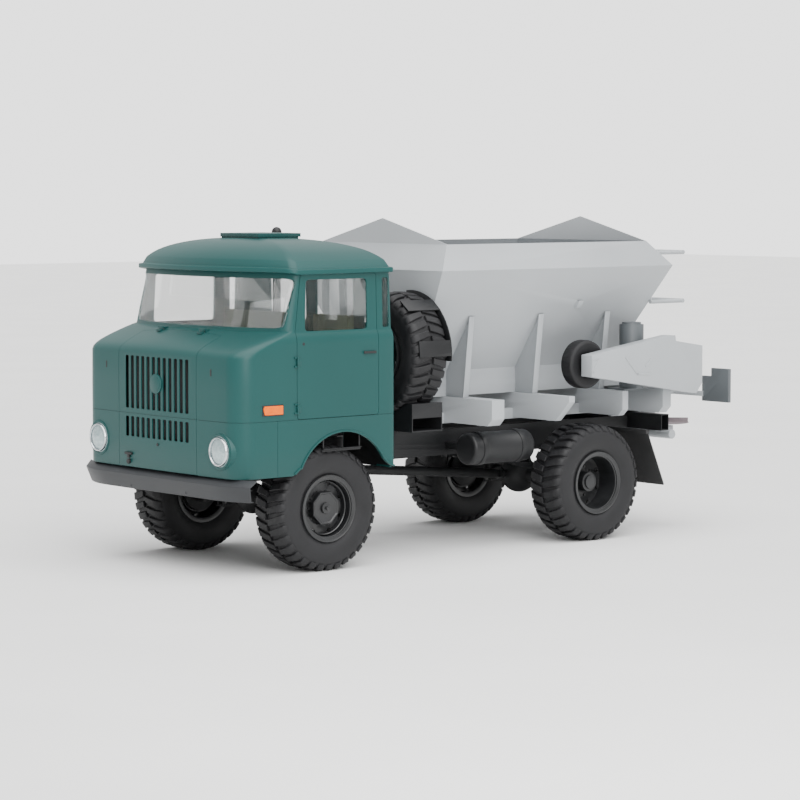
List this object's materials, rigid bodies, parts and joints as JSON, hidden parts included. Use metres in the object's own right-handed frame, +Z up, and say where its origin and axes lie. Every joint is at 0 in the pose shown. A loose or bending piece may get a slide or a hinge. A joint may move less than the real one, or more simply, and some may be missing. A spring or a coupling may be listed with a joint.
{
  "type": "hopper spreader truck",
  "caption": "Two-axle cab-over farm truck whose hopper body carries grain, seed or fertiliser to a belt and rear spreading discs.",
  "frame": {"origin": "on the ground under the centre of the vehicle's outer box", "axes": "+X forward, towards the cab; +Y to the vehicle's left; +Z up"},
  "size_m": [5.95, 2.454, 2.9958],
  "materials": {
    "cab_paint": "gloss enamel, blue-green",
    "body_paint": "light grey enamel",
    "frame_paint": "satin black enamel",
    "bumper_paint": "satin dark grey enamel",
    "wheel_paint": "satin black enamel",
    "tyre_rubber": "worn black tread rubber",
    "drive_rubber": "black moulded rubber",
    "belt_rubber": "ribbed black belting",
    "flap_rubber": "flexible black sheet",
    "casting": "painted casting, grey",
    "bare_steel": "machined steel",
    "disc_paint": "worn grey-brown enamel",
    "window_glass": "clear glass, faint green",
    "lamp_glass": "silvered headlamp glass",
    "indicator_plastic": "amber lens",
    "seat_cover": "olive coated fabric",
    "dash_plastic": "dark grained plastic",
    "wheel_plastic": "black moulded rim"
  },
  "bodies": {
    "vehicle": {"chassis_frame": "frame_paint", "front_bumper": "bumper_paint", "engine": "casting", "gearbox": "casting", "radiator": "frame_paint", "fuel_tank": "frame_paint", "air_tanks": "frame_paint", "air_intake": "frame_paint", "front_axle": "frame_paint", "rear_axle": "frame_paint", "leaf_springs": "frame_paint", "spare_carrier": "frame_paint", "spare_tyre": "tyre_rubber", "spare_rim": "wheel_paint", "mud_flaps": "flap_rubber", "cab_body": "cab_paint", "cab_roof": "cab_paint", "cab_floor": "frame_paint", "windscreen": "window_glass", "rear_windows": "window_glass", "dashboard": "dash_plastic", "driver_seat": "seat_cover", "passenger_bench": "seat_cover", "headlamp_bowls": "cab_paint", "headlamp_lenses": "lamp_glass", "side_indicators": "indicator_plastic", "subframe": "body_paint", "hopper": "body_paint", "hopper_ribs": "body_paint", "conveyor_belt": "belt_rubber", "oil_tank": "body_paint", "drop_chute": "body_paint", "spinner_drive": "body_paint"},
    "knuckle_left_body": {"knuckle_left": "frame_paint"},
    "knuckle_right_body": {"knuckle_right": "frame_paint"},
    "tie_rod_body": {"tie_rod": "frame_paint"},
    "wheel_front_left": {"tyre_front_left": "tyre_rubber", "rim_front_left": "wheel_paint"},
    "wheel_front_right": {"tyre_front_right": "tyre_rubber", "rim_front_right": "wheel_paint"},
    "wheel_rear_left": {"tyre_rear_left": "tyre_rubber", "rim_rear_left": "wheel_paint"},
    "wheel_rear_right": {"tyre_rear_right": "tyre_rubber", "rim_rear_right": "wheel_paint"},
    "door_left_body": {"door_left": "cab_paint", "door_glass_left": "window_glass"},
    "door_right_body": {"door_right": "cab_paint", "door_glass_right": "window_glass"},
    "steering_wheel_body": {"steering_wheel": "wheel_plastic"},
    "roof_hatch_body": {"roof_hatch": "cab_paint"},
    "front_flap_body": {"front_flap": "cab_paint"},
    "propshaft_front_body": {"propshaft_front": "frame_paint"},
    "propshaft_rear_body": {"propshaft_rear": "frame_paint"},
    "chain_case_body": {"chain_case": "body_paint"},
    "friction_wheel_body": {"friction_wheel": "drive_rubber"},
    "drum_front_body": {"drum_front": "bare_steel"},
    "drum_rear_body": {"drum_rear": "bare_steel"},
    "gate_body": {"metering_gate": "body_paint"},
    "spinner_left_body": {"spinner_left": "disc_paint"},
    "spinner_right_body": {"spinner_right": "disc_paint"}
  },
  "joints": [
    {"name": "steer_left", "type": "hinge", "parent": "vehicle", "child": "knuckle_left_body", "pos_m": [1.93, 0.7, 0.54], "axis": [0, 0, 1], "range_deg": [-28, 28]},
    {"name": "steer_right", "type": "hinge", "parent": "vehicle", "child": "knuckle_right_body", "pos_m": [1.93, -0.7, 0.54], "axis": [0, 0, 1], "range_deg": [-28, 28]},
    {"name": "tie_rod_left_ball", "type": "hinge", "parent": "knuckle_left_body", "child": "tie_rod_body", "pos_m": [1.75, 0.7, 0.4825], "axis": [0, 0, 1], "range_deg": [-28, 28]},
    {"name": "steering_wheel_turn", "type": "hinge", "parent": "vehicle", "child": "steering_wheel_body", "pos_m": [2.08, 0.5, 1.94], "axis": [-0.342, 0, 0.9397], "range_deg": [-425, 425]},
    {"name": "wheel_front_left_spin", "type": "hinge", "parent": "knuckle_left_body", "child": "wheel_front_left", "pos_m": [1.93, 0.9, 0.54], "axis": [0, 1, 0], "continuous": true},
    {"name": "wheel_front_right_spin", "type": "hinge", "parent": "knuckle_right_body", "child": "wheel_front_right", "pos_m": [1.93, -0.9, 0.54], "axis": [0, 1, 0], "continuous": true},
    {"name": "wheel_rear_left_spin", "type": "hinge", "parent": "vehicle", "child": "wheel_rear_left", "pos_m": [-1.27, 0.9, 0.54], "axis": [0, 1, 0], "continuous": true},
    {"name": "wheel_rear_right_spin", "type": "hinge", "parent": "vehicle", "child": "wheel_rear_right", "pos_m": [-1.27, -0.9, 0.54], "axis": [0, 1, 0], "continuous": true},
    {"name": "propshaft_rear_spin", "type": "hinge", "parent": "vehicle", "child": "propshaft_rear_body", "pos_m": [0.78, 0, 0.715], "axis": [0.9963, 0, 0.0858], "continuous": true},
    {"name": "propshaft_front_spin", "type": "hinge", "parent": "vehicle", "child": "propshaft_front_body", "pos_m": [1.33, 0, 0.61], "axis": [0.9964, 0, -0.0851], "continuous": true},
    {"name": "door_left_hinge", "type": "hinge", "parent": "vehicle", "child": "door_left_body", "pos_m": [2.315, 1.151, 1.6], "axis": [0, 0, -1], "range_deg": [0, 75]},
    {"name": "door_right_hinge", "type": "hinge", "parent": "vehicle", "child": "door_right_body", "pos_m": [2.315, -1.151, 1.6], "axis": [0, 0, 1], "range_deg": [0, 75]},
    {"name": "roof_hatch_hinge", "type": "hinge", "parent": "vehicle", "child": "roof_hatch_body", "pos_m": [1.583, 0, 2.864], "axis": [0, -1, 0], "range_deg": [0, 80]},
    {"name": "front_flap_hinge", "type": "hinge", "parent": "vehicle", "child": "front_flap_body", "pos_m": [2.684, 0, 2.066], "axis": [0, -1, 0], "range_deg": [0, 60]},
    {"name": "chain_case_pivot", "type": "hinge", "parent": "vehicle", "child": "chain_case_body", "pos_m": [-2.42, 1.11, 1.5], "axis": [0, 1, 0], "range_deg": [0, 15.6]},
    {"name": "drum_rear_spin", "type": "hinge", "parent": "vehicle", "child": "drum_rear_body", "pos_m": [-2.42, 0, 1.5], "axis": [0, 1, 0], "continuous": true},
    {"name": "drum_front_spin", "type": "hinge", "parent": "vehicle", "child": "drum_front_body", "pos_m": [0.28, 0, 1.5], "axis": [0, 1, 0], "continuous": true},
    {"name": "friction_wheel_spin", "type": "hinge", "parent": "chain_case_body", "child": "friction_wheel_body", "pos_m": [-1.2, 0.945, 1.64], "axis": [0, 1, 0], "continuous": true},
    {"name": "gate_slide", "type": "slide", "parent": "vehicle", "child": "gate_body", "axis": [-0.2354, 0, 0.9719], "range_m": [0, 0.2]},
    {"name": "spinner_left_spin", "type": "hinge", "parent": "vehicle", "child": "spinner_left_body", "pos_m": [-2.72, 0.5, 0.985], "axis": [0, 0, 1], "continuous": true},
    {"name": "spinner_right_spin", "type": "hinge", "parent": "vehicle", "child": "spinner_right_body", "pos_m": [-2.72, -0.5, 0.985], "axis": [0, 0, 1], "continuous": true}
  ],
  "couplings": [
    {"joint": "steer_right", "follows": "steer_left", "ratio": 1},
    {"joint": "tie_rod_left_ball", "follows": "steer_left", "ratio": -1},
    {"joint": "steering_wheel_turn", "follows": "steer_left", "ratio": 15},
    {"joint": "propshaft_front_spin", "follows": "propshaft_rear_spin", "ratio": 1},
    {"joint": "friction_wheel_spin", "follows": "drum_rear_spin", "ratio": 1.8333},
    {"joint": "drum_front_spin", "follows": "drum_rear_spin", "ratio": 1},
    {"joint": "spinner_right_spin", "follows": "spinner_left_spin", "ratio": -1}
  ]
}
